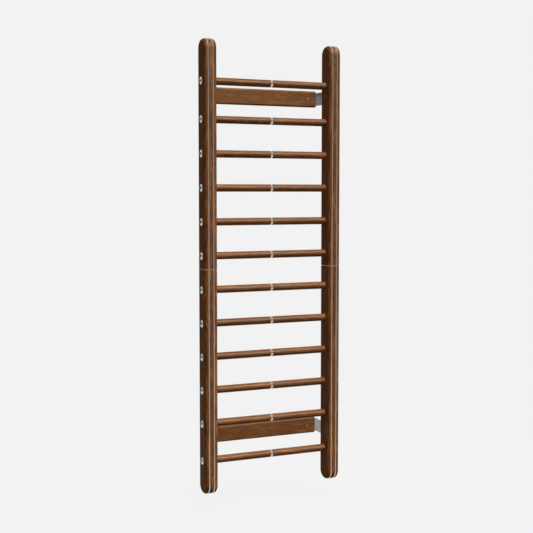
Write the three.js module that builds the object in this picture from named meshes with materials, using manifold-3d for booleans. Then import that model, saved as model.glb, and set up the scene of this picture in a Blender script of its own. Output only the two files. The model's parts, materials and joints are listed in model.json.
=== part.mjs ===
// Swedish wall bars: split wooden rungs between two laminated uprights, hung on a wall by two boards.
// Millimetres, +Z up, +X along the rungs, +Y towards the wall.
// The origin lies on the wall, behind the middle of the upper wall board.
import * as THREE from "three";
import { mergeVertices } from "three/addons/utils/BufferGeometryUtils.js";
import Module from "manifold-3d";

// Rungs
const RUNG_COUNT = 12;
const RUNG_DIAMETER = 40;
const RUNG_PITCH = 180;
const END_PITCH = 200; // the first two and the last two rungs stand further apart
const BOTTOM_MARGIN = 180; // lowest rung above the lower tips of the uprights
const TOP_MARGIN = 220; // upper tips of the uprights above the highest rung
const RING_WIDTH = 12; // steel ring between the two halves of a rung
const ROD_DIAMETER = 14;
const CAP_DIAMETER = 40;
const CAP_FACE_DIAMETER = 14; // flat in the middle of the cap
const CAP_RIM = 0.6; // straight edge of the cap, below its dome
const CAP_HEIGHT = 7;
const SOCKET_DIAMETER = 12; // hexagonal socket, across its corners
const SOCKET_DEPTH = 8;

// Uprights: wood, steel, wood, steel, wood, from the rungs outwards
const CLEAR_WIDTH = 658; // between the two uprights
const UPRIGHT_DEPTH = 102;
const LAYER_THICKNESS = 20; // the inner and the outer wooden layer
const MIDDLE_THICKNESS = 22;
const PLATE_THICKNESS = 6;
const PLATE_INSET = 0.5; // steel edges lie this far below the wood round them
const EDGE_RADIUS = 20; // round of the inner and outer layers
const SPLIT_ABOVE_RUNG = 110; // joint of the upright's halves, above the lower of the two middle rungs
const JOINT_PLATE_THICKNESS = 4;
const DOWEL_DIAMETER = 10;
const DOWEL_REACH = 40; // into each half
const DOWEL_SPACING = 50;

// Wall brackets and boards
const WALL_DISTANCE = 160; // rung axes to the wall
const BOARD_HEIGHT = 90;
const BOARD_THICKNESS = 20;
const BOARD_FROM_TIP = 280; // middle of each board, from the nearer tips of the uprights
const BOARD_END_GAP = 2.5; // between a board's end and the bracket beside it
const BOARD_EDGE_RADIUS = 9.6; // its long edges at the front
const BRACKET_HEIGHT = 72;
const FLANGE_LENGTH = 90; // along the wall, with the bend
const BEND_RADIUS = 4; // inside of the bend
const WALL_HOLE_DIAMETER = 9;
const WALL_HOLE_SPACING = 44; // two holes, one above the other
const WALL_HOLE_INSET = 18; // from the flange's free end
const SCREW_HOLE_DIAMETER = 5;
const SCREW_INSET = 49; // from the board's end

// Fits
const CLEARANCE = 0.3; // between pieces that touch, and round what passes through a hole

// Fineness of round pieces
const ROUND_SIDES = 16;
const HOLE_SIDES = 8;
const SOCKET_SIDES = 6;
const TIP_SEGMENTS = 6; // in each quarter of an upright's round tip
const EDGE_SEGMENTS = 4;
const CAP_SEGMENTS = 3;
const MERGE_DISTANCE = 1e-4;

// Sizes that follow from those above
const middleRung = Math.floor(RUNG_COUNT / 2);
const rungHeights = [BOTTOM_MARGIN];
for (let i = 1; i < RUNG_COUNT; i += 1) {
  const atAnEnd = i === 1 || i === RUNG_COUNT - 1;
  rungHeights.push(rungHeights[i - 1] + (atAnEnd ? END_PITCH : RUNG_PITCH));
}
const height = rungHeights[RUNG_COUNT - 1] + TOP_MARGIN;
const splitHeight = rungHeights[middleRung - 1] + SPLIT_ABOVE_RUNG;
const boardHeights = { lower: BOARD_FROM_TIP, upper: height - BOARD_FROM_TIP };
const halfDepth = UPRIGHT_DEPTH / 2;
const uprightWidth = 2 * LAYER_THICKNESS + 2 * PLATE_THICKNESS + MIDDLE_THICKNESS;
const innerFace = CLEAR_WIDTH / 2;
const innerPlateFace = innerFace + LAYER_THICKNESS;
const middleFace = innerPlateFace + PLATE_THICKNESS;
const outerPlateFace = middleFace + MIDDLE_THICKNESS;
const outerLayerFace = outerPlateFace + PLATE_THICKNESS;
const outerFace = innerFace + uprightWidth;
const boardHalfLength = innerPlateFace - BOARD_END_GAP;
const flangeEnd = middleFace - FLANGE_LENGTH;
const edgeRadius = Math.min(EDGE_RADIUS, LAYER_THICKNESS);
const boardEdgeRadius = Math.min(BOARD_EDGE_RADIUS, BOARD_THICKNESS / 2);
const rodHoleDiameter = ROD_DIAMETER + 2 * CLEARANCE;

const wasm = await Module();
wasm.setup();

function toSolid(geometry) {
  geometry.deleteAttribute("normal");
  geometry.deleteAttribute("uv");
  const merged = mergeVertices(geometry, MERGE_DISTANCE);
  const mesh = new wasm.Mesh({
    numProp: 3,
    vertProperties: merged.attributes.position.array,
    triVerts: new Uint32Array(merged.index.array),
  });
  return new wasm.Manifold(mesh);
}

function toGeometry(solid) {
  const { vertProperties, triVerts } = solid.getMesh();
  const geometry = new THREE.BufferGeometry();
  geometry.setAttribute("position", new THREE.BufferAttribute(vertProperties, 3));
  geometry.setIndex(new THREE.BufferAttribute(triVerts, 1));
  geometry.computeVertexNormals();
  return geometry;
}

function box(low, high) {
  const size = high.map((value, i) => value - low[i]);
  const centre = high.map((value, i) => (value + low[i]) / 2);
  return toSolid(new THREE.BoxGeometry(...size).translate(...centre));
}

function rodAlongX(diameter, from, to, z, sides) {
  const rod = new THREE.CylinderGeometry(diameter / 2, diameter / 2, to - from, sides);
  return toSolid(rod.rotateZ(-Math.PI / 2).translate((from + to) / 2, 0, z));
}

function rodAlongY(diameter, from, to, x, z) {
  const rod = new THREE.CylinderGeometry(diameter / 2, diameter / 2, to - from, HOLE_SIDES);
  return toSolid(rod.translate(x, (from + to) / 2, z));
}

function rodAlongZ(diameter, from, to, x, y) {
  const rod = new THREE.CylinderGeometry(diameter / 2, diameter / 2, to - from, HOLE_SIDES);
  return toSolid(rod.rotateX(Math.PI / 2).translate(x, y, (from + to) / 2));
}

// Turns a shape drawn in depth and height, and extruded, so that its thickness runs along X.
const sideways = new THREE.Matrix4().makeBasis(
  new THREE.Vector3(0, 1, 0),
  new THREE.Vector3(0, 0, 1),
  new THREE.Vector3(1, 0, 0),
);

// Side view of an upright: straight edges and half-round tips.
function uprightOutline(inset) {
  const radius = halfDepth - inset;
  const outline = new THREE.Shape();
  outline.moveTo(radius, halfDepth);
  outline.lineTo(radius, height - halfDepth);
  outline.absarc(0, height - halfDepth, radius, 0, Math.PI, false);
  outline.lineTo(-radius, halfDepth);
  outline.absarc(0, halfDepth, radius, Math.PI, 2 * Math.PI, false);
  return outline;
}

// A flat sheet of the upright's outline between two distances along X.
function uprightSheet(from, to, inset) {
  const sheet = new THREE.ExtrudeGeometry(uprightOutline(inset), {
    depth: to - from,
    bevelEnabled: false,
    curveSegments: TIP_SEGMENTS,
  });
  return toSolid(sheet.applyMatrix4(sideways).translate(from, 0, 0));
}

// The inner and the outer layer are rounded on the side that shows, and flat on the steel.
function roundedLayer(from, to, outward) {
  const blank = new THREE.ExtrudeGeometry(uprightOutline(0), {
    depth: LAYER_THICKNESS,
    bevelThickness: edgeRadius,
    bevelSize: edgeRadius,
    bevelOffset: -edgeRadius,
    bevelSegments: EDGE_SEGMENTS,
    curveSegments: TIP_SEGMENTS,
  });
  const start = outward ? to - LAYER_THICKNESS - edgeRadius : from + edgeRadius;
  const rounded = toSolid(blank.applyMatrix4(sideways).translate(start, 0, 0));
  const slab = box([from, -UPRIGHT_DEPTH, -height], [to, UPRIGHT_DEPTH, 2 * height]);
  return rounded.intersect(slab);
}

// The part of a full upright piece that belongs to one half.
function halfOf(solid, half) {
  const gap = JOINT_PLATE_THICKNESS / 2 + CLEARANCE;
  const low = half === "upper" ? splitHeight + gap : -height;
  const high = half === "upper" ? 2 * height : splitHeight - gap;
  return solid.intersect(box([-2 * outerFace, -UPRIGHT_DEPTH, low], [2 * outerFace, UPRIGHT_DEPTH, high]));
}

function rungsOf(half) {
  return rungHeights.filter((z) => z > splitHeight === (half === "upper"));
}

function withRungHoles(solid, half, diameter, sides) {
  return rungsOf(half).reduce(
    (cut, z) => cut.subtract(rodAlongX(diameter, 0, 2 * outerFace, z, sides)),
    solid,
  );
}

// Ear that runs back from the inner plate and bends inwards along the wall, behind the board.
function wallBracket(half) {
  const bendX = innerPlateFace - BEND_RADIUS;
  const bendY = WALL_DISTANCE - PLATE_THICKNESS - BEND_RADIUS;
  const profile = new THREE.Shape();
  profile.moveTo(middleFace, 0);
  profile.lineTo(middleFace, bendY);
  profile.absarc(bendX, bendY, BEND_RADIUS + PLATE_THICKNESS, 0, Math.PI / 2, false);
  profile.lineTo(flangeEnd, WALL_DISTANCE);
  profile.lineTo(flangeEnd, WALL_DISTANCE - PLATE_THICKNESS);
  profile.lineTo(bendX, WALL_DISTANCE - PLATE_THICKNESS);
  profile.absarc(bendX, bendY, BEND_RADIUS, Math.PI / 2, 0, true);
  profile.lineTo(innerPlateFace, 0);
  const bent = new THREE.ExtrudeGeometry(profile, {
    depth: BRACKET_HEIGHT,
    bevelEnabled: false,
    curveSegments: EDGE_SEGMENTS / 2,
  });
  const centre = boardHeights[half];
  const holeFrom = WALL_DISTANCE - 2 * PLATE_THICKNESS;
  const holeTo = WALL_DISTANCE + PLATE_THICKNESS;
  const wallHoleX = flangeEnd + WALL_HOLE_INSET;
  const screwX = boardHalfLength - SCREW_INSET;
  const holes = [
    rodAlongY(WALL_HOLE_DIAMETER, holeFrom, holeTo, wallHoleX, centre - WALL_HOLE_SPACING / 2),
    rodAlongY(WALL_HOLE_DIAMETER, holeFrom, holeTo, wallHoleX, centre + WALL_HOLE_SPACING / 2),
    rodAlongY(SCREW_HOLE_DIAMETER, holeFrom, holeTo, screwX, centre),
  ];
  const bracket = toSolid(bent.translate(0, 0, centre - BRACKET_HEIGHT / 2));
  return holes.reduce((cut, hole) => cut.subtract(hole), bracket);
}

function innerLayer(half) {
  const layer = roundedLayer(innerFace, innerPlateFace - CLEARANCE, false);
  return withRungHoles(halfOf(layer, half), half, RUNG_DIAMETER + 2 * CLEARANCE, ROUND_SIDES);
}

function innerPlate(half) {
  const plate = halfOf(uprightSheet(innerPlateFace, middleFace, PLATE_INSET), half);
  return withRungHoles(plate.add(wallBracket(half)), half, rodHoleDiameter, HOLE_SIDES);
}

function dowelPlaces() {
  const x = (middleFace + outerPlateFace) / 2;
  return [-1, 1].map((side) => ({ x, y: (side * DOWEL_SPACING) / 2 }));
}

function dowel(place, diameter, reach) {
  const half = JOINT_PLATE_THICKNESS / 2 + reach;
  return rodAlongZ(diameter, splitHeight - half, splitHeight + half, place.x, place.y);
}

function middleLayer(half) {
  const layer = halfOf(uprightSheet(middleFace + CLEARANCE, outerPlateFace - CLEARANCE, 0), half);
  const drilled = withRungHoles(layer, half, rodHoleDiameter, HOLE_SIDES);
  return dowelPlaces().reduce(
    (cut, place) =>
      cut.subtract(dowel(place, DOWEL_DIAMETER + 2 * CLEARANCE, DOWEL_REACH + CLEARANCE)),
    drilled,
  );
}

function outerPlate(half) {
  const plate = halfOf(uprightSheet(outerPlateFace, outerLayerFace, PLATE_INSET), half);
  return withRungHoles(plate, half, rodHoleDiameter, HOLE_SIDES);
}

function outerLayer(half) {
  const layer = roundedLayer(outerLayerFace + CLEARANCE, outerFace, true);
  return withRungHoles(halfOf(layer, half), half, rodHoleDiameter, HOLE_SIDES);
}

// Steel plate between the two halves of an upright, with the dowels that line them up.
function jointPlate() {
  const radius = edgeRadius;
  const left = innerFace + PLATE_INSET;
  const right = outerFace - PLATE_INSET;
  const back = halfDepth - PLATE_INSET;
  const section = new THREE.Shape();
  section.moveTo(left + radius, -back);
  section.absarc(right - radius, -back + radius, radius, -Math.PI / 2, 0, false);
  section.absarc(right - radius, back - radius, radius, 0, Math.PI / 2, false);
  section.absarc(left + radius, back - radius, radius, Math.PI / 2, Math.PI, false);
  section.absarc(left + radius, -back + radius, radius, Math.PI, (3 * Math.PI) / 2, false);
  const plate = new THREE.ExtrudeGeometry(section, {
    depth: JOINT_PLATE_THICKNESS,
    bevelEnabled: false,
    curveSegments: EDGE_SEGMENTS / 2,
  });
  const flat = toSolid(plate.translate(0, 0, splitHeight - JOINT_PLATE_THICKNESS / 2));
  return dowelPlaces().reduce(
    (joined, place) => joined.add(dowel(place, DOWEL_DIAMETER, DOWEL_REACH)),
    flat,
  );
}

// One wooden half of a rung, on the +X side. It passes through the inner layer and seats on the steel.
function rungHalf() {
  const from = RING_WIDTH / 2 + CLEARANCE;
  const to = innerPlateFace - CLEARANCE;
  const wood = rodAlongX(RUNG_DIAMETER, from, to, 0, ROUND_SIDES);
  return wood.subtract(rodAlongX(rodHoleDiameter, 0, innerPlateFace, 0, HOLE_SIDES));
}

// Domed cap on the outside of the upright on one side, -1 for the left and 1 for the right.
function cap(side) {
  const seat = outerFace + CLEARANCE;
  const face = CAP_FACE_DIAMETER / 2;
  const slope = CAP_DIAMETER / 2 - face;
  const lean = 2 * Math.atan2(CAP_HEIGHT - CAP_RIM, slope);
  const radius = slope / Math.sin(lean);
  const profile = [new THREE.Vector2(0, 0), new THREE.Vector2(CAP_DIAMETER / 2, 0)];
  for (let i = 0; i <= CAP_SEGMENTS; i += 1) {
    const turn = lean * (1 - i / CAP_SEGMENTS);
    const fall = radius * (1 - Math.cos(turn));
    profile.push(new THREE.Vector2(face + radius * Math.sin(turn), CAP_HEIGHT - fall));
  }
  profile.push(new THREE.Vector2(0, CAP_HEIGHT));
  const dome = new THREE.LatheGeometry(profile, ROUND_SIDES);
  return toSolid(dome.rotateZ((-side * Math.PI) / 2).translate(side * seat, 0, 0));
}

// Hexagonal hole in a cap, for the key that tightens it.
function socket(side) {
  const face = outerFace + CLEARANCE + CAP_HEIGHT;
  const ends = [side * (face - SOCKET_DEPTH), side * (face + SOCKET_DEPTH)];
  return rodAlongX(SOCKET_DIAMETER, Math.min(...ends), Math.max(...ends), 0, SOCKET_SIDES);
}

// Rod that ties a rung between the uprights, with the ring in its middle and a cap on each end.
function tieRod() {
  const end = outerFace + CLEARANCE + CAP_RIM;
  const ring = rodAlongX(RUNG_DIAMETER, -RING_WIDTH / 2, RING_WIDTH / 2, 0, ROUND_SIDES);
  const rod = rodAlongX(ROD_DIAMETER, -end, end, 0, HOLE_SIDES);
  return [-1, 1].reduce(
    (joined, side) => joined.add(cap(side)).subtract(socket(side)),
    rod.add(ring),
  );
}

// Wall board with rounded front edges, cut back at its ends for the flanges of the brackets.
function wallBoard() {
  const arcY = WALL_DISTANCE - BOARD_THICKNESS + boardEdgeRadius;
  const arcZ = BOARD_HEIGHT / 2 - boardEdgeRadius;
  const section = new THREE.Shape();
  section.moveTo(WALL_DISTANCE, -BOARD_HEIGHT / 2);
  section.lineTo(WALL_DISTANCE, BOARD_HEIGHT / 2);
  section.absarc(arcY, arcZ, boardEdgeRadius, Math.PI / 2, Math.PI, false);
  section.absarc(arcY, -arcZ, boardEdgeRadius, Math.PI, (3 * Math.PI) / 2, false);
  const plank = new THREE.ExtrudeGeometry(section, {
    depth: 2 * boardHalfLength,
    bevelEnabled: false,
    curveSegments: EDGE_SEGMENTS,
  });
  const rounded = toSolid(plank.applyMatrix4(sideways).translate(-boardHalfLength, 0, 0));
  const rebateHeight = BRACKET_HEIGHT / 2 + CLEARANCE;
  const rebateFront = WALL_DISTANCE - PLATE_THICKNESS - CLEARANCE;
  const screwX = boardHalfLength - SCREW_INSET;
  return [-1, 1].reduce((board, side) => {
    const ends = [side * (flangeEnd - CLEARANCE), side * outerFace];
    const low = [Math.min(...ends), rebateFront, -rebateHeight];
    const high = [Math.max(...ends), 2 * WALL_DISTANCE, rebateHeight];
    const hole = rodAlongY(SCREW_HOLE_DIAMETER, 0, 2 * WALL_DISTANCE, side * screwX, 0);
    return board.subtract(box(low, high)).subtract(hole);
  }, rounded);
}

const looks = {
  uprightWood: { color: 0x6b4428, roughness: 0.5, metalness: 0 },
  rungWood: { color: 0x8a5a36, roughness: 0.45, metalness: 0 },
  boardWood: { color: 0x6f4a30, roughness: 0.5, metalness: 0 },
  brushedSteel: { color: 0x86807a, roughness: 0.45, metalness: 0.9 },
  polishedSteel: { color: 0xb9bcbd, roughness: 0.2, metalness: 1 },
};

function piece(name, solid, look) {
  const mesh = new THREE.Mesh(toGeometry(solid), new THREE.MeshStandardMaterial(looks[look]));
  mesh.name = name;
  return mesh;
}

// The right upright as drawn, or the left one as its mirror image.
function upright(side) {
  const group = new THREE.Group();
  for (const half of ["lower", "upper"]) {
    const prefix = `${side}_${half}`;
    group.add(
      piece(`${prefix}_inner_layer`, innerLayer(half), "uprightWood"),
      piece(`${prefix}_inner_plate`, innerPlate(half), "brushedSteel"),
      piece(`${prefix}_middle_layer`, middleLayer(half), "uprightWood"),
      piece(`${prefix}_outer_plate`, outerPlate(half), "brushedSteel"),
      piece(`${prefix}_outer_layer`, outerLayer(half), "uprightWood"),
    );
  }
  group.add(piece(`${side}_joint_plate`, jointPlate(), "brushedSteel"));
  group.scale.x = side === "left" ? -1 : 1;
  return group;
}

function rung(index) {
  const name = `rung_${String(index + 1).padStart(2, "0")}`;
  const group = new THREE.Group();
  const right = piece(`${name}_right_half`, rungHalf(), "rungWood");
  const left = piece(`${name}_left_half`, rungHalf(), "rungWood");
  left.scale.x = -1;
  group.add(left, right, piece(`${name}_tie_rod`, tieRod(), "polishedSteel"));
  group.position.z = rungHeights[index];
  return group;
}

function board(place) {
  const mesh = piece(`${place}_wall_board`, wallBoard(), "boardWood");
  mesh.position.z = boardHeights[place];
  return mesh;
}

const assembly = new THREE.Group();
assembly.add(upright("left"), upright("right"), board("lower"), board("upper"));
for (let i = 0; i < RUNG_COUNT; i += 1) {
  assembly.add(rung(i));
}
assembly.position.set(0, -WALL_DISTANCE, -boardHeights.upper);

const wallBars = new THREE.Group();
wallBars.name = "wall_bars";
wallBars.add(assembly);

export default wallBars;
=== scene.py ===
# Swedish wall bars: stained wood and steel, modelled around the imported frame. Metres, +Z up.
import itertools
import json
import math

import bmesh
import bpy
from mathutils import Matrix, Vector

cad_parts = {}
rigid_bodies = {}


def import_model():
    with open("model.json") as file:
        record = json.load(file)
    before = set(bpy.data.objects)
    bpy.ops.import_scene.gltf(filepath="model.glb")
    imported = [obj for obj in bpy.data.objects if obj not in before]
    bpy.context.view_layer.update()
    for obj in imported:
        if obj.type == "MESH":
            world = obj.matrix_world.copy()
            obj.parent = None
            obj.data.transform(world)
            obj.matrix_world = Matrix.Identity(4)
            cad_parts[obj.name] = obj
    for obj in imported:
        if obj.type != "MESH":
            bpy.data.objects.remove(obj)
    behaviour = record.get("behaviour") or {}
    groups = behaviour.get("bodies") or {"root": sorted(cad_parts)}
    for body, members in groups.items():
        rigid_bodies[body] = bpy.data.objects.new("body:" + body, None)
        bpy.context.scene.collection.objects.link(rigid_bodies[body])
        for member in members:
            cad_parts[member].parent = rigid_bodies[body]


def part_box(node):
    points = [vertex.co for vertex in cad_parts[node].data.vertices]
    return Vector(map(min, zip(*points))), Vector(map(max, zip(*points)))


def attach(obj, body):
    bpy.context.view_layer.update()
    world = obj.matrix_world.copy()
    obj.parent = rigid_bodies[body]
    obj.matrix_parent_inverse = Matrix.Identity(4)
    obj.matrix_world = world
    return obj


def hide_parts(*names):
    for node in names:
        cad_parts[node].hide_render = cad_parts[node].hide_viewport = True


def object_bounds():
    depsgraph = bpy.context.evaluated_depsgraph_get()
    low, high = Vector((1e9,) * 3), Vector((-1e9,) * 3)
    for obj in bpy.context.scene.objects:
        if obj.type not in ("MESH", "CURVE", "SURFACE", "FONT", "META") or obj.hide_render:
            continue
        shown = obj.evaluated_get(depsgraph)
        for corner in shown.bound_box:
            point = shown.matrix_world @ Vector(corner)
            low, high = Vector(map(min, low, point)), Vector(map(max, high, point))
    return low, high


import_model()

cad_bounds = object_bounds()

# Sizes that the frame's boxes don't give
RUNG_COUNT = 12
RING_WIDTH = 0.012
ROD_RADIUS = 0.007
CAP_RIM = 0.0006
CAP_FACE_RADIUS = 0.007
CAP_HEIGHT = 0.007
SOCKET_RADIUS = 0.006
SOCKET_DEPTH = 0.008
PLATE_THICKNESS = 0.006
PLATE_INSET = 0.0005
BRACKET_HEIGHT = 0.072
BEND_RADIUS = 0.004
FLANGE_LENGTH = 0.090
WALL_HOLE_RADIUS = 0.0045
WALL_HOLE_SPACING = 0.044
WALL_HOLE_INSET = 0.018
SCREW_HOLE_RADIUS = 0.0025
SCREW_INSET = 0.049
SCREW_HEAD_RADIUS = 0.005
SCREW_HEAD_DEPTH = 0.003
SCREW_DOME = 0.0022
SCREW_FACE_RADIUS = 0.00195
SCREW_SOCKET_RADIUS = 0.0015
SCREW_SOCKET_DEPTH = 0.0016
SCREW_TIP_GAP = 0.0012
SCREW_TIP_LENGTH = 0.0012
SCREW_TIP_SHARE = 0.6
EDGE_RADIUS = 0.020
BOARD_EDGE_RADIUS = 0.0096
BOARD_END_RADIUS = 0.004
DOWEL_RADIUS = 0.005
DOWEL_SPACING = 0.050
CLEARANCE = 0.0003

# Fineness
WOOD_EASE = 0.0006  # sharp edges of wood, broken with sandpaper
STEEL_EASE = 0.0004
EASE_MIDDLE = 0.3  # how far the middle of an eased edge lies in, as a share of the ease
FLAT_MARGIN = 0.0006  # ring that keeps a flat face flat beside a round edge
CUT_BEYOND = 0.01  # how far a cutter runs past what it cuts
ROUND_SIDES = 72
HOLE_SIDES = 36
SCREW_SIDES = 48
ARC_STEPS = 40
EDGE_STEPS = 10
EASE_STEPS = 3
SMOOTH_ANGLE = math.radians(32)

# Where the rungs, the joints, the boards and their screws are
RUNGS = [f"rung_{i + 1:02d}" for i in range(RUNG_COUNT)]
SIDES = {"left": -1, "right": 1}
HALVES = {"lower": -1, "upper": 1}


def middle(node):
    low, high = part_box(node)
    return (low + high) / 2


RUNG_Y = middle("rung_01_tie_rod").y
RUNG_Z = [middle(f"{name}_tie_rod").z for name in RUNGS]
RUNG_RADIUS = (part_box("rung_01_left_half")[1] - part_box("rung_01_left_half")[0]).z / 2
SPLIT_Z = middle("right_joint_plate").z
UPRIGHT_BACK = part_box("right_upper_middle_layer")[1].y
BOARD_Z = {half: middle(f"{half}_wall_board").z for half in HALVES}
SCREW_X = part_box("upper_wall_board")[1].x - SCREW_INSET


def rungs_of(half):
    return [z for z in RUNG_Z if (z > SPLIT_Z) == (half == "upper")]


def ends_along_x(node, side):
    """Nearest and furthest place along X from the middle of the object."""
    low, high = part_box(node)
    return (low.x, high.x) if side > 0 else (high.x, low.x)


# Mesh helpers

def quarter(steps):
    """Turns from 0 to 90 degrees."""
    return [i / steps * math.pi / 2 for i in range(steps + 1)]


def join(bm, low, high, gap=None):
    """Faces between two rings of equally many points, without the one that starts at gap."""
    for i in range(len(low)):
        if i != gap:
            j = (i + 1) % len(low)
            bm.faces.new((low[i], low[j], high[j], high[i]))


def loft(bm, rings, closed=False):
    """Rings of equally many points, joined in a row and capped, or joined on to the first."""
    made = [[bm.verts.new(point) for point in ring] for ring in rings]
    for low, high in zip(made, made[1:]):
        join(bm, low, high)
    if closed:
        join(bm, made[-1], made[0])
    else:
        bm.faces.new(list(reversed(made[0])))
        bm.faces.new(made[-1])


def lathe(bm, profile, centre, sides=ROUND_SIDES, axis="x", closed=False):
    """Turns (place, radius) points round an axis. A radius may be a function of the turn."""
    rings = []
    for place, radius in profile:
        ring = []
        for i in range(sides):
            turn = 2 * math.pi * i / sides
            r = radius(turn) if callable(radius) else radius
            a = centre[0] + r * math.cos(turn)
            b = centre[1] + r * math.sin(turn)
            ring.append({"x": (place, a, b), "y": (a, place, b), "z": (a, b, place)}[axis])
        rings.append(ring)
    loft(bm, rings, closed)


def tube(bm, start, end, axis, centre, radius, sides=HOLE_SIDES):
    """Round bar along an axis, with its middle at centre on the other two."""
    lathe(bm, [(start, radius), (end, radius)], centre, sides, axis)


def hexagon(corner_radius):
    """Radius of a hexagon at a turn, for a lathe."""
    flat = corner_radius * math.cos(math.pi / 6)
    return lambda turn: flat / math.cos(turn % (math.pi / 3) - math.pi / 6)


def to_object(name, bm):
    bmesh.ops.recalc_face_normals(bm, faces=bm.faces)
    mesh = bpy.data.meshes.new(name)
    bm.to_mesh(mesh)
    bm.free()
    obj = bpy.data.objects.new(name, mesh)
    bpy.context.scene.collection.objects.link(obj)
    return obj


def combine(obj, cutter_bm, operation):
    """Cuts obj with the solids of a bmesh, or joins them to it."""
    cutter = to_object("cutter", cutter_bm)
    change = obj.modifiers.new("change", "BOOLEAN")
    change.operation = operation
    change.solver = "EXACT"
    change.object = cutter
    graph = bpy.context.evaluated_depsgraph_get()
    mesh = bpy.data.meshes.new_from_object(obj.evaluated_get(graph))
    obj.modifiers.remove(change)
    old = obj.data
    obj.data = mesh
    mesh.name = obj.name
    bpy.data.meshes.remove(old)
    old_cutter = cutter.data
    bpy.data.objects.remove(cutter)
    bpy.data.meshes.remove(old_cutter)


GOLDEN = 0.6180339887  # spreads the tones of the pieces evenly
piece_numbers = itertools.count(1)


def finish_piece(obj, material, slot, *nodes):
    """Smooth shading, material, its own place in the grain, and its CAD body."""
    mesh = obj.data
    mesh.polygons.foreach_set("use_smooth", [True] * len(mesh.polygons))
    mesh.set_sharp_from_angle(angle=SMOOTH_ANGLE)
    mesh.materials.clear()
    mesh.materials.append(material)
    tone = mesh.attributes.new("tone", "FLOAT", "POINT")
    tone.data.foreach_set("value", [next(piece_numbers) * GOLDEN % 1] * len(mesh.vertices))
    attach(obj, "root")
    if nodes:
        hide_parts(*nodes)


# Node trees

class Nodes:
    """Node tree of a material or world, with short calls for adding and linking nodes."""

    def __init__(self, owner):
        owner.use_nodes = True
        self.owner = owner
        self.tree = owner.node_tree
        self.tree.nodes.clear()

    def add(self, kind, inputs=None, output=0, **settings):
        node = self.tree.nodes.new(kind)
        for key, value in settings.items():
            setattr(node, key, value)
        for key, value in (inputs or {}).items():
            if isinstance(value, bpy.types.NodeSocket):
                self.tree.links.new(value, node.inputs[key])
            else:
                node.inputs[key].default_value = value
        return node.outputs[output] if node.outputs else None

    def place(self):
        """Place in the object's own frame."""
        return self.add("ShaderNodeTexCoord", output=3)

    def split(self, vector):
        node = self.tree.nodes.new("ShaderNodeSeparateXYZ")
        self.tree.links.new(vector, node.inputs[0])
        return node.outputs

    def math(self, operation, a, b=0.0, c=0.0):
        return self.add("ShaderNodeMath", {0: a, 1: b, 2: c}, operation=operation)

    def vector(self, operation, *values):
        return self.add("ShaderNodeVectorMath", dict(enumerate(values)), operation=operation)

    def measure(self, operation, *values):
        """A number from vectors, such as a length."""
        return self.add("ShaderNodeVectorMath", dict(enumerate(values)), 1, operation=operation)

    def noise(self, place, scale, detail, roughness, output=0):
        scaled = self.vector("MULTIPLY", place, scale)
        inputs = {"Vector": scaled, "Scale": 1.0, "Detail": detail, "Roughness": roughness}
        return self.add("ShaderNodeTexNoise", inputs, output, noise_dimensions="3D")

    def ramp(self, value, stops):
        node = self.tree.nodes.new("ShaderNodeValToRGB")
        elements = node.color_ramp.elements
        while len(elements) < len(stops):
            elements.new(0.5)
        for element, (place, colour) in zip(elements, stops):
            element.position = place
            element.color = (*colour, 1.0)
        self.tree.links.new(value, node.inputs["Fac"])
        return node.outputs["Color"]

    def mix(self, blend, factor, a, b):
        return self.add("ShaderNodeMix", {0: factor, 6: a, 7: b}, 2, data_type="RGBA", blend_type=blend)

    def span(self, value, low, high, to_low, to_high):
        """Carries low to high over to another span, and holds its ends."""
        inputs = {"Value": value, 1: low, 2: high, 3: to_low, 4: to_high}
        return self.add("ShaderNodeMapRange", inputs)

    def surface(self, shader):
        self.add("ShaderNodeOutputMaterial", {"Surface": shader})
        return self.owner


def ray_is(nodes, *kinds):
    """1 for rays of any of these kinds, 0 for others."""
    path = nodes.tree.nodes.new("ShaderNodeLightPath")
    found = path.outputs[f"Is {kinds[0]} Ray"]
    for kind in kinds[1:]:
        found = nodes.math("MAXIMUM", found, path.outputs[f"Is {kind} Ray"])
    return found


# Wood: how fine its patterns are, twice across the grain and once along it, per metre
SWAY_SCALE = (5, 5, 2.6)
WOBBLE_SCALE = (60, 60, 5)
PATCH_SCALE = (11, 11, 2.1)
STREAK_SCALE = (95, 95, 4.0)
FIBRE_SCALE = (240, 240, 9)
MOTTLE_SCALE = (190, 190, 85)
PORE_SCALE = (1500, 1500, 60)
KNOT_SCALE = (18, 18, 5)

# Wood: how far things move, and how strong they are
PIECE_SHIFT = (31.0, 57.0, 113.0)  # moves the grain by a piece's tone, which is 0 to 1
SWAY = (0.12, 0.12, 0)
HEART_SPREAD = (0.16, -0.09, 0)
HEART_PLACE = (-0.10, 0.13, 0)
RING_WOBBLE = 5.0
RING_SHARPNESS = 3.0
RING_MIDDLE = 0.38
PATCH_SHARE = 0.20
KNOT_HEART = 0.05
KNOT_EDGE = 0.12
KNOT_HALO = 0.24
KNOT_DARKNESS = 2.5
PORE_SHADE = 0.6
PORE_HEIGHT = 0.6
FIBRE_POLISH = -0.25
RELIEF_DEPTH = 0.0003
WOOD_STOPS = [
    (0.20, (0.050, 0.017, 0.005)),
    (0.42, (0.165, 0.060, 0.018)),
    (0.58, (0.265, 0.101, 0.030)),
    (0.80, (0.430, 0.170, 0.050)),
]


def grain_place(nodes, along):
    """Place with the grain along the third axis, the same moved for each piece, and the piece's tone."""
    place = nodes.place()
    if along == "x":
        parts = nodes.split(place)
        place = nodes.add("ShaderNodeCombineXYZ", {0: parts["Y"], 1: parts["Z"], 2: parts["X"]})
    tone = nodes.add("ShaderNodeAttribute", output=2, attribute_name="tone")
    moved = nodes.vector("MULTIPLY_ADD", tone, PIECE_SHIFT, place)
    return place, moved, tone


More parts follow.
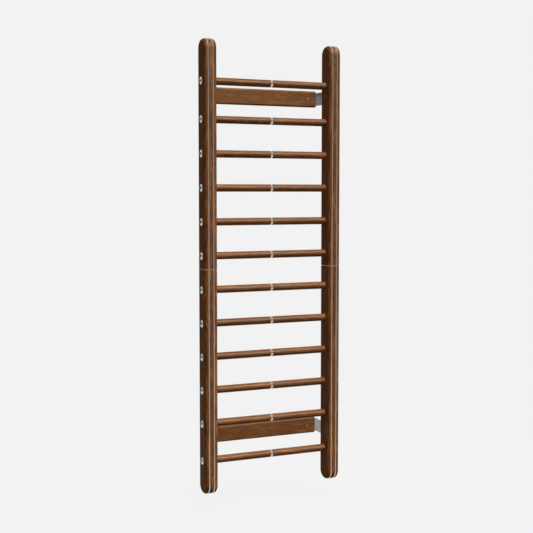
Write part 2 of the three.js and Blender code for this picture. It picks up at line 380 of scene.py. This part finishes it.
def growth_rings(nodes, bent, moved, tone, spacing):
    """Waves round a heart that lies in another place for each piece, 0 to 1."""
    heart = nodes.vector("MULTIPLY_ADD", tone, HEART_SPREAD, HEART_PLACE)
    across = nodes.vector("MULTIPLY", nodes.vector("ADD", bent, heart), (1, 1, 0))
    radius = nodes.measure("LENGTH", across)
    wobble = nodes.math("MULTIPLY", nodes.noise(moved, WOBBLE_SCALE, 3, 0.6), RING_WOBBLE)
    turns = nodes.math("ADD", nodes.math("MULTIPLY", radius, 2 * math.pi / spacing), wobble)
    return nodes.math("MULTIPLY_ADD", nodes.math("SINE", turns), 0.5, 0.5)


def with_knots(nodes, value, moved, strength):
    """Adds a pale halo and a dark heart to the value wherever a knot lies."""
    scaled = nodes.vector("MULTIPLY", moved, KNOT_SCALE)
    away = nodes.add("ShaderNodeTexVoronoi", {"Vector": scaled, "Scale": 1.0})
    halo = nodes.span(away, KNOT_EDGE, KNOT_HALO, strength, 0.0)
    heart = nodes.span(away, KNOT_HEART, KNOT_EDGE, KNOT_DARKNESS * strength, 0.0)
    return nodes.math("SUBTRACT", nodes.math("ADD", value, halo), heart)


def wood(name, along, look):
    """Stained hardwood: swaying growth rings, bright streaks, knots, fibres and open pores."""
    nodes = Nodes(bpy.data.materials.new(name))
    place, moved, tone = grain_place(nodes, along)
    swing = nodes.vector("SUBTRACT", nodes.noise(moved, SWAY_SCALE, 2, 0.5, output=1), (0.5, 0.5, 0.5))
    sway = nodes.vector("MULTIPLY", swing, SWAY)
    swayed = nodes.vector("ADD", moved, sway)
    rings = growth_rings(nodes, nodes.vector("ADD", place, sway), moved, tone, look["ring_spacing"])
    patches = nodes.noise(moved, PATCH_SCALE, 3, 0.55)
    streaks = nodes.noise(swayed, STREAK_SCALE, 3, 0.55)
    fibres = nodes.noise(swayed, FIBRE_SCALE, 4, 0.65)
    mottle = nodes.noise(swayed, MOTTLE_SCALE, 2, 0.6)
    pores = nodes.noise(swayed, PORE_SCALE, 2, 0.6)

    # Rings and streaks show on faces to the front or back, and faintly on the others
    normal = nodes.add("ShaderNodeTexCoord", output=1)
    to_front = nodes.math("ABSOLUTE", nodes.measure("DOT_PRODUCT", normal, (0, 1, 0)))
    flat_sawn = nodes.span(to_front, 0.15, 0.6, 0.3, 1.0)
    strength = nodes.math("MULTIPLY", nodes.span(patches, 0.42, 0.60, 0.1, 1.0), flat_sawn)
    lines = nodes.math("POWER", rings, RING_SHARPNESS)
    figure = nodes.math("MULTIPLY", nodes.math("SUBTRACT", RING_MIDDLE, lines), strength)
    streaks = nodes.math("MULTIPLY", nodes.span(streaks, 0.50, 0.62, -0.3, 0.7), flat_sawn)

    value = nodes.math("MULTIPLY_ADD", figure, look["figure"], look["level"])
    value = nodes.math("MULTIPLY_ADD", streaks, look["streaks"], value)
    shares = [(patches, PATCH_SHARE), (fibres, look["fibres"]),
              (mottle, look["mottle"]), (tone, look["variety"])]
    for pattern, share in shares:
        value = nodes.math("MULTIPLY_ADD", nodes.math("SUBTRACT", pattern, 0.5), share, value)
    if look["knots"]:
        value = with_knots(nodes, value, moved, look["knots"])

    open_pores = nodes.span(pores, 0.30, 0.42, 0.5, 1.0)
    colour = nodes.mix("MULTIPLY", PORE_SHADE, nodes.ramp(value, WOOD_STOPS), open_pores)
    rough = nodes.math("MULTIPLY_ADD", nodes.math("SUBTRACT", fibres, 0.5), FIBRE_POLISH, look["roughness"])
    height = nodes.math("MULTIPLY_ADD", open_pores, PORE_HEIGHT, fibres)
    relief = nodes.add("ShaderNodeBump", {
        "Height": height, "Strength": look["relief"], "Distance": RELIEF_DEPTH})
    shader = nodes.add("ShaderNodeBsdfPrincipled", {
        "Base Color": colour, "Roughness": rough, "Specular IOR Level": look["gloss"], "Normal": relief})
    return nodes.surface(shader)


# Steel
EAR_BLEND = 0.002  # half the way over which dull steel turns to zinc at the back of an upright
STAIN_SCALE = (18, 18, 7)
BRUSHING_SCALE = (900, 900, 25)
SPECKLE_SCALE = (140, 140, 140)
TURNING_SCALE = (1800, 60, 60)
SMEAR_SCALE = (45, 45, 45)
STEEL_RELIEF = 0.05
STEEL_RELIEF_DEPTH = 0.0001
DULL_STEEL = [(0.30, (0.72, 0.60, 0.51)), (0.70, (0.88, 0.76, 0.67))]
ZINC = [(0.30, (0.74, 0.76, 0.77)), (0.70, (0.86, 0.88, 0.89))]
POLISHED_STEEL = [(0.3, (0.70, 0.71, 0.715)), (0.7, (0.84, 0.85, 0.855))]


def steel(nodes, colour, rough, height, more=None):
    """Metal shader with a faint relief, and more inputs where a steel needs them."""
    relief = nodes.add("ShaderNodeBump", {
        "Height": height, "Strength": STEEL_RELIEF, "Distance": STEEL_RELIEF_DEPTH})
    inputs = {"Base Color": colour, "Metallic": 1.0, "Roughness": rough, "Normal": relief, **(more or {})}
    return nodes.surface(nodes.add("ShaderNodeBsdfPrincipled", inputs))


def flat_steel(name):
    """Flat steel: dull warm edges between the wood, zinc grey on the ears that run back to the wall."""
    nodes = Nodes(bpy.data.materials.new(name))
    place = nodes.place()
    depth = nodes.split(place)["Y"]
    ear = nodes.span(depth, UPRIGHT_BACK - EAR_BLEND, UPRIGHT_BACK + EAR_BLEND, 0.0, 1.0)
    stains = nodes.noise(place, STAIN_SCALE, 4, 0.6)
    brushing = nodes.noise(place, BRUSHING_SCALE, 3, 0.6)
    speckle = nodes.noise(place, SPECKLE_SCALE, 3, 0.6)
    value = nodes.math("MULTIPLY_ADD", stains, 0.6, nodes.math("MULTIPLY", brushing, 0.4))
    colour = nodes.mix("MIX", ear, nodes.ramp(value, DULL_STEEL), nodes.ramp(value, ZINC))
    rough = nodes.math("MULTIPLY_ADD", speckle, 0.22, nodes.span(ear, 0.0, 1.0, 0.26, 0.08))
    return steel(nodes, colour, rough, brushing)


def turned_steel(name):
    """Polished steel with fine turning marks round the rung's axis and small handling marks."""
    nodes = Nodes(bpy.data.materials.new(name))
    place = nodes.place()
    marks = nodes.noise(place, TURNING_SCALE, 2, 0.5)
    smears = nodes.noise(place, SMEAR_SCALE, 4, 0.65)
    rough = nodes.span(smears, 0.3, 0.7, 0.12, 0.18)
    round_axis = nodes.add("ShaderNodeTangent", direction_type="RADIAL", axis="X")
    turning = {"Anisotropic": 0.4, "Anisotropic Rotation": 0.25, "Tangent": round_axis}
    return steel(nodes, nodes.ramp(smears, POLISHED_STEEL), rough, marks, turning)


upright_wood = wood("upright_wood", "z", {
    "level": 0.50, "ring_spacing": 0.010, "figure": 0.36, "streaks": 0.22, "fibres": 0.32, "mottle": 0.25,
    "knots": 0.12, "variety": 0.05, "roughness": 0.40, "gloss": 0.024, "relief": 0.15})
rung_wood = wood("rung_wood", "x", {
    "level": 0.525, "ring_spacing": 0.007, "figure": 0.13, "streaks": 0.15, "fibres": 0.30, "mottle": 0.25,
    "knots": 0.0, "variety": 0.04, "roughness": 0.36, "gloss": 0.048, "relief": 0.05})
board_wood = wood("board_wood", "x", {
    "level": 0.592, "ring_spacing": 0.014, "figure": 0.10, "streaks": 0.14, "fibres": 0.50, "mottle": 0.28,
    "knots": 0.0, "variety": -0.08, "roughness": 0.40, "gloss": 0.041, "relief": 0.15})
plate_steel = flat_steel("plate_steel")
rung_steel = turned_steel("rung_steel")


# Uprights

def half_outline(node, half, inset, split_inset, ear=None):
    """Points in depth and height round one half of an upright, from the joint over the tip and back.

    An ear, given as where it ends in depth and its middle in height, sticks out at the back.
    """
    low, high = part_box(f"{node.split('_')[0]}_{half}_middle_layer")
    way = HALVES[half]
    split = low.z if half == "upper" else high.z
    tip = high.z if half == "upper" else low.z
    reach = (high.y - low.y) / 2
    radius = reach - inset
    front = RUNG_Y - radius
    back = RUNG_Y + radius
    turn_z = tip - way * reach
    straight_z = turn_z - way * FLAT_MARGIN
    points = [(front, split + way * split_inset), (front, straight_z)]
    for i in range(ARC_STEPS + 1):
        turn = math.pi * (1 - i / ARC_STEPS)
        points.append((RUNG_Y + radius * math.cos(turn), turn_z + way * radius * math.sin(turn)))
    points.append((back, straight_z))
    if ear:
        end, centre = ear
        rise = way * (BRACKET_HEIGHT / 2 - inset)
        points += [(back, centre + rise), (end, centre + rise), (end, centre - rise), (back, centre - rise)]
    points.append((back, split + way * split_inset))
    return points


def sheet(node, half, profile):
    """One layer of an upright's half: (place along X, inset, inset at the joint) for each ring."""
    bm = bmesh.new()
    loft(bm, [[(x, y, z) for y, z in half_outline(node, half, inset, split_inset)]
              for x, inset, split_inset in profile])
    return to_object(node, bm)


def flat_profile(inner, outer, side, ease, inset=0.0):
    return [(inner, inset + ease, ease), (inner + side * ease, inset, 0),
            (outer - side * ease, inset, 0), (outer, inset + ease, ease)]


def rounded_profile(flat, shown):
    """From the flat side against the steel to the rounded side that shows."""
    radius = min(EDGE_RADIUS, abs(shown - flat) - WOOD_EASE)
    way = 1 if shown > flat else -1
    rings = [(flat, WOOD_EASE, WOOD_EASE), (flat + way * WOOD_EASE, 0, 0)]
    for turn in quarter(EDGE_STEPS)[1:]:
        x = shown - way * radius * (1 - math.sin(turn))
        rings.append((x, radius * (1 - math.cos(turn)), 0))
    rings.append((shown, radius + FLAT_MARGIN, FLAT_MARGIN))
    return rings


def drill(obj, half, radius, sides=HOLE_SIDES):
    """Holes for the rungs or their rods through one layer."""
    low = min(v.co.x for v in obj.data.vertices)
    high = max(v.co.x for v in obj.data.vertices)
    cutter = bmesh.new()
    for z in rungs_of(half):
        tube(cutter, low - CUT_BEYOND, high + CUT_BEYOND, "x", (RUNG_Y, z), radius, sides)
    combine(obj, cutter, "DIFFERENCE")


def bore_for_dowels(obj, name, half):
    """Blind holes in a middle layer for the two dowels of the joint plate."""
    plate = f"{name}_joint_plate"
    low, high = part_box(plate)
    centre = middle(plate)
    end = high.z + CLEARANCE if half == "upper" else low.z - CLEARANCE
    cutter = bmesh.new()
    for place in (-DOWEL_SPACING / 2, DOWEL_SPACING / 2):
        tube(cutter, SPLIT_Z, end, "z", (centre.x, centre.y + place), DOWEL_RADIUS + CLEARANCE)
    combine(obj, cutter, "DIFFERENCE")


def inner_layer(name, side, half):
    node = f"{name}_{half}_inner_layer"
    inner, outer = ends_along_x(node, side)
    obj = sheet(node + ".wood", half, rounded_profile(outer, inner))
    drill(obj, half, RUNG_RADIUS + CLEARANCE, ROUND_SIDES)
    finish_piece(obj, upright_wood, "upright_wood", node)


def middle_layer(name, side, half):
    node = f"{name}_{half}_middle_layer"
    inner, outer = ends_along_x(node, side)
    obj = sheet(node + ".wood", half, flat_profile(inner, outer, side, WOOD_EASE))
    bore_for_dowels(obj, name, half)
    drill(obj, half, ROD_RADIUS + CLEARANCE)
    finish_piece(obj, upright_wood, "upright_wood", node)


def outer_layer(name, side, half):
    node = f"{name}_{half}_outer_layer"
    inner, outer = ends_along_x(node, side)
    obj = sheet(node + ".wood", half, rounded_profile(inner, outer))
    drill(obj, half, ROD_RADIUS + CLEARANCE)
    finish_piece(obj, upright_wood, "upright_wood", node)


def outer_plate(name, side, half):
    node = f"{name}_{half}_outer_plate"
    inner, outer = ends_along_x(node, side)
    obj = sheet(node + ".steel", half, flat_profile(inner, outer, side, STEEL_EASE, PLATE_INSET))
    drill(obj, half, ROD_RADIUS + CLEARANCE)
    finish_piece(obj, plate_steel, "plate_steel", node)


def bent_flange(bm, section, side, bend_x, bend_y, run):
    """Carries the open end of an ear round the bend and along the wall."""
    stations = [(turn, 0) for turn in quarter(EDGE_STEPS)]
    stations += [(math.pi / 2, FLAT_MARGIN), (math.pi / 2, run)]
    last = section
    for turn, along in stations:
        ring = []
        for vert in section:
            away = abs(vert.co.x - bend_x)
            x = bend_x + side * (away * math.cos(turn) - along)
            ring.append(bm.verts.new((x, bend_y + away * math.sin(turn), vert.co.z)))
        join(bm, last, ring)
        last = ring
    bm.faces.new(last)


def inner_plate(name, side, half):
    """Steel plate with an ear that runs back to the wall and bends inwards behind the board."""
    node = f"{name}_{half}_inner_plate"
    low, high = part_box(node)
    wall = high.y
    outer = high.x if side > 0 else low.x
    inner = outer - side * PLATE_THICKNESS
    bend_y = wall - PLATE_THICKNESS - BEND_RADIUS
    bend_x = inner - side * BEND_RADIUS
    flange_end = outer - side * FLANGE_LENGTH
    centre = BOARD_Z[half]
    bm = bmesh.new()
    rings = []
    for x, inset, split_inset in flat_profile(inner, outer, side, STEEL_EASE, PLATE_INSET):
        outline = half_outline(node, half, inset, split_inset, (bend_y - FLAT_MARGIN, centre))
        rings.append([bm.verts.new((x, y, z)) for y, z in outline])
    ear_end = len(rings[0]) - 4  # where the outline's edge at the end of the ear starts
    for first, second in zip(rings, rings[1:]):
        join(bm, first, second, ear_end)
    bm.faces.new(list(reversed(rings[0])))
    bm.faces.new(rings[-1])
    section = [ring[ear_end] for ring in rings] + [ring[ear_end + 1] for ring in reversed(rings)]
    bent_flange(bm, section, side, bend_x, bend_y, abs(bend_x - flange_end))
    obj = to_object(node + ".steel", bm)
    drill(obj, half, ROD_RADIUS + CLEARANCE)

    hole_x = flange_end + side * WALL_HOLE_INSET
    holes = [(hole_x, centre - WALL_HOLE_SPACING / 2, WALL_HOLE_RADIUS),
             (hole_x, centre + WALL_HOLE_SPACING / 2, WALL_HOLE_RADIUS),
             (side * SCREW_X, centre, SCREW_HOLE_RADIUS)]
    cutter = bmesh.new()
    for x, z, radius in holes:
        tube(cutter, wall - 2 * CUT_BEYOND, wall + 2 * CUT_BEYOND, "y", (x, z), radius)
    combine(obj, cutter, "DIFFERENCE")
    finish_piece(obj, plate_steel, "plate_steel", node)


def rounded_rectangle(half_a, half_b, radius, inset):
    """Points round a rectangle with round corners, drawn in by an inset."""
    points = []
    for corner, (way_a, way_b) in enumerate(((1, 1), (-1, 1), (-1, -1), (1, -1))):
        for i in range(EDGE_STEPS + 1):
            turn = (corner + i / EDGE_STEPS) * math.pi / 2
            points.append((way_a * (half_a - radius) + (radius - inset) * math.cos(turn),
                           way_b * (half_b - radius) + (radius - inset) * math.sin(turn)))
    return points


def joint_plate(name):
    """Thin plate between the halves of an upright, with its two dowels."""
    node = f"{name}_joint_plate"
    low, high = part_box(node)
    x, y = middle(node).x, middle(node).y
    half_x, half_y = (high.x - low.x) / 2, (high.y - low.y) / 2
    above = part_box(f"{name}_upper_middle_layer")[0].z
    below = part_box(f"{name}_lower_middle_layer")[1].z
    half_z = (above - below) / 2 - CLEARANCE
    profile = [(-half_z, STEEL_EASE), (STEEL_EASE - half_z, 0),
               (half_z - STEEL_EASE, 0), (half_z, STEEL_EASE)]
    bm = bmesh.new()
    rings = []
    for z, inset in profile:
        rings.append([(x + a, y + b, SPLIT_Z + z)
                      for a, b in rounded_rectangle(half_x, half_y, EDGE_RADIUS, inset)])
    loft(bm, rings)
    obj = to_object(node + ".steel", bm)
    dowels = bmesh.new()
    for place in (-DOWEL_SPACING / 2, DOWEL_SPACING / 2):
        tube(dowels, low.z, high.z, "z", (x, y + place), DOWEL_RADIUS)
    combine(obj, dowels, "UNION")
    finish_piece(obj, plate_steel, "plate_steel", node)


# Rungs

def rung_half(name, side, z):
    """Hollow wooden half: a small round edge at the ring, a broken one inside the upright."""
    node = f"{name}_{'right' if side > 0 else 'left'}_half"
    start, end = ends_along_x(node, side)
    bore = ROD_RADIUS + CLEARANCE
    ease = side * WOOD_EASE
    margin = side * FLAT_MARGIN
    profile = [(start, bore)]
    for turn in quarter(EASE_STEPS):
        profile.append((start + ease * (1 - math.cos(turn)),
                        RUNG_RADIUS - WOOD_EASE * (1 - math.sin(turn))))
    profile += [(start + ease + margin, RUNG_RADIUS), (end - ease - margin, RUNG_RADIUS),
                (end - ease, RUNG_RADIUS), (end, RUNG_RADIUS - WOOD_EASE), (end, bore)]
    bm = bmesh.new()
    lathe(bm, profile, (RUNG_Y, z), closed=True)
    finish_piece(to_object(node + ".wood", bm), rung_wood, "rung_wood", node)


def tie_rod(name, z):
    """Rod with the ring in its middle and a domed cap with a hexagonal socket on each end."""
    node = f"{name}_tie_rod"
    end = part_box(node)[1].x
    seat = end - CAP_HEIGHT
    ring = RING_WIDTH / 2
    radius = RUNG_RADIUS
    ease = STEEL_EASE
    soft = ease * EASE_MIDDLE
    half = [(ring - ease, radius), (ring - soft, radius - soft), (ring, radius - ease), (ring, ROD_RADIUS),
            (seat, ROD_RADIUS), (seat, radius - ease), (seat + ease, radius)]
    lean = 2 * math.atan2(CAP_HEIGHT - CAP_RIM, radius - CAP_FACE_RADIUS)
    dome = (radius - CAP_FACE_RADIUS) / math.sin(lean)
    for i in range(EDGE_STEPS + 1):
        turn = lean * (1 - i / EDGE_STEPS)
        half.append((end - dome * (1 - math.cos(turn)), CAP_FACE_RADIUS + dome * math.sin(turn)))
    half += [(end, hexagon(SOCKET_RADIUS + ease)), (end - ease, hexagon(SOCKET_RADIUS)),
             (end - SOCKET_DEPTH, hexagon(SOCKET_RADIUS))]
    profile = [(-x, r) for x, r in reversed(half)] + half
    bm = bmesh.new()
    lathe(bm, profile, (RUNG_Y, z))
    finish_piece(to_object(node + ".steel", bm), rung_steel, "rung_steel", node)


# Wall boards and their screws

def board_section(half_y, half_z, inset):
    """Points round a board's section: long edges rounded at the front, broken at the back."""
    radius = BOARD_EDGE_RADIUS - inset
    points = []
    for way in (1, -1):
        side = [(half_y, way * (half_z - inset - WOOD_EASE)), (half_y - WOOD_EASE, way * (half_z - inset)),
                (half_y - BOARD_EDGE_RADIUS, way * (half_z - inset))]
        for turn in quarter(EDGE_STEPS):
            side.append((BOARD_EDGE_RADIUS - half_y - radius * math.sin(turn),
                         way * (half_z - BOARD_EDGE_RADIUS + radius * math.cos(turn))))
        side.append((inset - half_y, way * (half_z - BOARD_EDGE_RADIUS - FLAT_MARGIN)))
        points += side if way > 0 else list(reversed(side))
    return points


def cut_board(obj, low, high):
    """Rebates for the flanges, and screw holes that widen at the front for the heads."""
    centre_z = (low.z + high.z) / 2
    beyond = (high.y - low.y) / 2
    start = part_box("right_upper_inner_plate")[0].x - CLEARANCE
    floor_y = high.y - PLATE_THICKNESS - 2 * CLEARANCE
    tall = BRACKET_HEIGHT / 2 + CLEARANCE
    end = high.x - low.x
    corners = [(start, -tall), (end, -tall), (end, tall), (start, tall)]
    flare = SCREW_HEAD_RADIUS + CLEARANCE - SCREW_HOLE_RADIUS
    sink = [(low.y + SCREW_HEAD_DEPTH, SCREW_HOLE_RADIUS),
            (low.y - SCREW_HEAD_DEPTH, SCREW_HOLE_RADIUS + 2 * flare)]
    rebates = bmesh.new()
    holes = bmesh.new()
    sinks = bmesh.new()
    for side in SIDES.values():
        screw = (side * SCREW_X, centre_z)
        loft(rebates, [[(side * x, y, centre_z + z) for x, z in corners]
                       for y in (floor_y, high.y + beyond)])
        tube(holes, low.y - beyond, high.y + beyond, "y", screw, SCREW_HOLE_RADIUS)
        lathe(sinks, sink, screw, HOLE_SIDES, "y")
    for cutter in (rebates, holes, sinks):
        combine(obj, cutter, "DIFFERENCE")


def wall_board(half):
    node = f"{half}_wall_board"
    low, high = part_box(node)
    centre = middle(node)
    half_x, half_y, half_z = (high - low) / 2
    ends = [(half_x - BOARD_END_RADIUS - FLAT_MARGIN, 0)]
    for turn in quarter(EDGE_STEPS):
        ends.append((half_x - BOARD_END_RADIUS * (1 - math.sin(turn)),
                     BOARD_END_RADIUS * (1 - math.cos(turn))))
    bm = bmesh.new()
    rings = []
    for x, inset in [(-x, inset) for x, inset in reversed(ends)] + ends:
        rings.append([(x, centre.y + a, centre.z + b) for a, b in board_section(half_y, half_z, inset)])
    loft(bm, rings)
    obj = to_object(node + ".wood", bm)
    cut_board(obj, low, high)
    finish_piece(obj, board_wood, "board_wood", node)
    obj.visible_glossy = False  # steel mirrors the studio and not the boards


def board_screw(half, name, side):
    """Countersunk screw with a low dome and a hexagonal socket."""
    low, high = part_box(f"{half}_wall_board")
    head = low.y
    tip = high.y - SCREW_TIP_GAP
    shank = SCREW_HOLE_RADIUS - CLEARANCE
    profile = [(head - SCREW_DOME + SCREW_SOCKET_DEPTH, hexagon(SCREW_SOCKET_RADIUS)),
               (head - SCREW_DOME, hexagon(SCREW_SOCKET_RADIUS))]
    for turn in quarter(EDGE_STEPS):
        profile.append((head - SCREW_DOME * math.cos(turn),
                        SCREW_FACE_RADIUS + (SCREW_HEAD_RADIUS - SCREW_FACE_RADIUS) * math.sin(turn)))
    profile += [(head + SCREW_HEAD_DEPTH, shank), (tip - SCREW_TIP_LENGTH, shank),
                (tip, shank * SCREW_TIP_SHARE)]
    bm = bmesh.new()
    lathe(bm, profile, (side * SCREW_X, BOARD_Z[half]), SCREW_SIDES, "y")
    finish_piece(to_object(f"{half}_board_screw_{name}", bm), plate_steel, "plate_steel")


for name, side in SIDES.items():
    for half in HALVES:
        inner_layer(name, side, half)
        middle_layer(name, side, half)
        outer_layer(name, side, half)
        outer_plate(name, side, half)
        inner_plate(name, side, half)
        board_screw(half, name, side)
    joint_plate(name)
for name, z in zip(RUNGS, RUNG_Z):
    rung_half(name, -1, z)
    rung_half(name, 1, z)
    tie_rod(name, z)
for half in HALVES:
    wall_board(half)


# Floor
WHITE = (1.0, 1.0, 1.0, 1.0)
PALE_GREY = (0.887, 0.887, 0.887, 1.0)
FLOOR_BOUNCE = (0.16, 0.16, 0.16, 1.0)
FLOOR_GAP = 0.12
FLOOR_RADIUS = 4.0
FLOOR_SIDES = 96
SHADOW_CORE = 0.3
SHADOW_RADIUS = 2.5
SHADOW_SHARE = 0.15


def floor():
    """Pale disc with a faint shadow that fades outwards, and a weak bounce on to the object."""
    bm = bmesh.new()
    bmesh.ops.create_circle(bm, cap_ends=True, segments=FLOOR_SIDES, radius=FLOOR_RADIUS)
    obj = to_object("floor", bm)
    obj.location = (0, RUNG_Y, cad_bounds[0].z - FLOOR_GAP)
    nodes = Nodes(bpy.data.materials.new("pale_floor"))
    away = nodes.measure("LENGTH", nodes.place())
    share = nodes.span(away, SHADOW_CORE, SHADOW_RADIUS, SHADOW_SHARE, 0.0)
    lit = nodes.add("ShaderNodeBsdfDiffuse", {"Color": PALE_GREY})
    plain = nodes.add("ShaderNodeEmission", {"Color": PALE_GREY, "Strength": 1.0})
    shown = nodes.add("ShaderNodeMixShader", {0: share, 1: plain, 2: lit})
    bounce = nodes.add("ShaderNodeBsdfDiffuse", {"Color": FLOOR_BOUNCE})
    seen = ray_is(nodes, "Camera", "Glossy", "Transmission")
    mixed = nodes.add("ShaderNodeMixShader", {0: seen, 1: bounce, 2: shown})
    obj.data.materials.append(nodes.surface(mixed))
    obj.visible_glossy = False


# Light
AMBIENT = 0.19
LAMP_ANGLE = 25.0
KEY_STRENGTH = 2.75
KEY_ELEVATION = 55.0
KEY_AZIMUTH = 46.0
SHADE_STRENGTH = 0.7
SHADE_ELEVATION = 65.0
SHADE_AZIMUTH = 0.0
SHEEN_STRENGTH = 30.0
SHEEN_COLOUR = (1.0, 1.0, 0.87)
SHEEN_ELEVATION = 43.0
SHEEN_AZIMUTH = 0.0
SHEEN_ANGLE = 60.0

# Studio that metal mirrors: greys from straight below to straight above, before and behind the object
FRONT_GREYS = [(0.0, 0.68), (0.07, 0.66), (0.30, 0.63), (0.40, 0.46), (0.45, 0.30), (0.52, 0.215),
               (0.60, 0.24), (0.75, 0.50), (0.93, 0.64)]
BACK_GREYS = [(0.0, 0.50), (0.12, 0.68), (0.27, 0.70), (0.35, 0.52), (0.40, 0.32), (0.44, 0.15),
              (0.57, 0.12), (0.63, 0.24), (0.70, 0.60), (0.80, 0.70)]
FRONT_ENDS = -0.3
BACK_STARTS = 0.2


def greys(stops):
    return [(place, (grey, grey, grey)) for place, grey in stops]


def world():
    """Pale behind the object, a grey studio in its metal, and an even light from all sides."""
    made = bpy.data.worlds.new("studio")
    bpy.context.scene.world = made
    nodes = Nodes(made)
    direction = nodes.split(nodes.add("ShaderNodeTexCoord"))
    height = nodes.span(direction["Z"], -1.0, 1.0, 0.0, 1.0)
    behind = nodes.span(direction["Y"], FRONT_ENDS, BACK_STARTS, 0.0, 1.0)
    front = nodes.ramp(height, greys(FRONT_GREYS))
    back = nodes.ramp(height, greys(BACK_GREYS))
    studio = nodes.mix("MIX", behind, front, back)
    ambient = nodes.add("ShaderNodeBackground", {"Color": WHITE, "Strength": AMBIENT})
    mirrored = nodes.add("ShaderNodeBackground", {"Color": studio, "Strength": 1.0})
    pale = nodes.add("ShaderNodeBackground", {"Color": PALE_GREY, "Strength": 1.0})
    unseen = nodes.add("ShaderNodeMixShader", {0: ray_is(nodes, "Glossy"), 1: ambient, 2: mirrored})
    seen = ray_is(nodes, "Camera", "Transmission")
    shown = nodes.add("ShaderNodeMixShader", {0: seen, 1: unseen, 2: pale})
    nodes.add("ShaderNodeOutputWorld", {"Surface": shown})


def lamp(name, strength, elevation, azimuth, angle=LAMP_ANGLE):
    data = bpy.data.lights.new(name, "SUN")
    data.energy = strength
    data.angle = math.radians(angle)
    obj = bpy.data.objects.new(name, data)
    obj.rotation_euler = (math.radians(90 - elevation), 0, math.radians(azimuth))
    bpy.context.scene.collection.objects.link(obj)
    return obj


def lamps():
    """A soft light without shadows, a weaker one with them, and one that only gives the wood its sheen."""
    key = lamp("key", KEY_STRENGTH, KEY_ELEVATION, KEY_AZIMUTH)
    key.data.use_shadow = False
    key.visible_glossy = False
    shade = lamp("shade", SHADE_STRENGTH, SHADE_ELEVATION, SHADE_AZIMUTH)
    shade.visible_glossy = False
    sheen = lamp("sheen", SHEEN_STRENGTH, SHEEN_ELEVATION, SHEEN_AZIMUTH, SHEEN_ANGLE)
    sheen.data.color = SHEEN_COLOUR
    sheen.data.use_shadow = False
    sheen.visible_diffuse = False
    wooden = bpy.data.collections.new("wooden")
    for obj in bpy.context.scene.objects:
        if obj.name.endswith(".wood"):
            wooden.objects.link(obj)
    sheen.light_linking.receiver_collection = wooden


# Camera, solved from the photograph
SENSOR_WIDTH = 36.0
LENS = 71.274
CAMERA_PLACE = (-2.4024, -5.3741, -0.5253)
CAMERA_DIP = 4.0003
CAMERA_TURN = -24.5122
CLIP_END = 200.0


def camera():
    data = bpy.data.cameras.new("camera")
    data.sensor_width = SENSOR_WIDTH
    data.lens = LENS
    data.clip_end = CLIP_END
    obj = bpy.data.objects.new("camera", data)
    obj.location = CAMERA_PLACE
    obj.rotation_euler = (math.radians(90 - CAMERA_DIP), 0, math.radians(CAMERA_TURN))
    bpy.context.scene.collection.objects.link(obj)
    bpy.context.scene.camera = obj


floor()
world()
lamps()
camera()
bpy.context.scene.view_settings.view_transform = "Standard"
